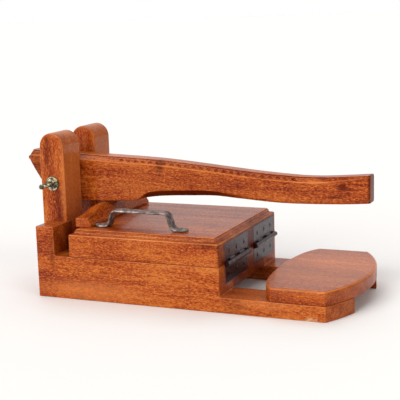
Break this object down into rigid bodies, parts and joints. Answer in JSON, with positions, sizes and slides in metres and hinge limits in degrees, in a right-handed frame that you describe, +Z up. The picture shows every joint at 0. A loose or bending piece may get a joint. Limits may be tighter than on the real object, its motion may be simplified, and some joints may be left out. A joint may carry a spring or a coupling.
{
  "type": "lever press",
  "caption": "Hardwood table press: a long lever pivoted between two round-topped cheeks bears on a hinged, moulded pressing lid over a solid bed, with a bow-fronted rest board.",
  "frame": {"origin": "centre of the bounding box at the resting plane under the rails", "axes": "+X to the front, where the rest board is and the lever's grip points; +Y to the press's left; +Z up"},
  "size_m": [0.4576, 0.2, 0.2002],
  "materials": {
    "lacquered_wood": "gloss lacquer over red-brown hardwood",
    "dark_iron": "dark bronzed, glossy",
    "forged_steel": "hammered, forged",
    "zinc_plate": "yellowish zinc plate"
  },
  "bodies": {
    "base": {"rail_right": "lacquered_wood", "rail_left": "lacquered_wood", "bed": "lacquered_wood", "rest_board": "lacquered_wood", "cheek_right": "lacquered_wood", "cheek_left": "lacquered_wood", "cheek_spacer": "lacquered_wood", "pivot_bolt": "zinc_plate", "washer_right": "zinc_plate", "washer_left": "zinc_plate", "pivot_nut": "zinc_plate", "hinge_right_lower_leaf": "dark_iron", "hinge_left_lower_leaf": "dark_iron", "hinge_right_pin": "dark_iron", "hinge_left_pin": "dark_iron", "hinge_screw_right_lower_1": "dark_iron", "hinge_screw_right_lower_2": "dark_iron", "hinge_screw_right_lower_3": "dark_iron", "hinge_screw_left_lower_1": "dark_iron", "hinge_screw_left_lower_2": "dark_iron", "hinge_screw_left_lower_3": "dark_iron"},
    "lever": {"lever": "lacquered_wood"},
    "lid": {"lid": "lacquered_wood", "press_block": "lacquered_wood", "lid_handle": "forged_steel", "handle_screw_1": "zinc_plate", "handle_screw_2": "zinc_plate", "hinge_right_upper_leaf": "dark_iron", "hinge_left_upper_leaf": "dark_iron", "hinge_screw_right_upper_1": "dark_iron", "hinge_screw_right_upper_2": "dark_iron", "hinge_screw_right_upper_3": "dark_iron", "hinge_screw_left_upper_1": "dark_iron", "hinge_screw_left_upper_2": "dark_iron", "hinge_screw_left_upper_3": "dark_iron"}
  },
  "joints": [
    {"name": "lever_pivot", "type": "hinge", "parent": "base", "child": "lever", "pos_m": [-0.16575, 0, 0.1367], "axis": [0, -1, 0], "range_deg": [0, 150]},
    {"name": "lid_hinge", "type": "hinge", "parent": "base", "child": "lid", "pos_m": [0.07585, 0, 0.0533], "axis": [0, 1, 0], "range_deg": [0, 37.5]}
  ],
  "couplings": [
    {"joint": "lid_hinge", "follows": "lever_pivot", "ratio": 0.25}
  ]
}
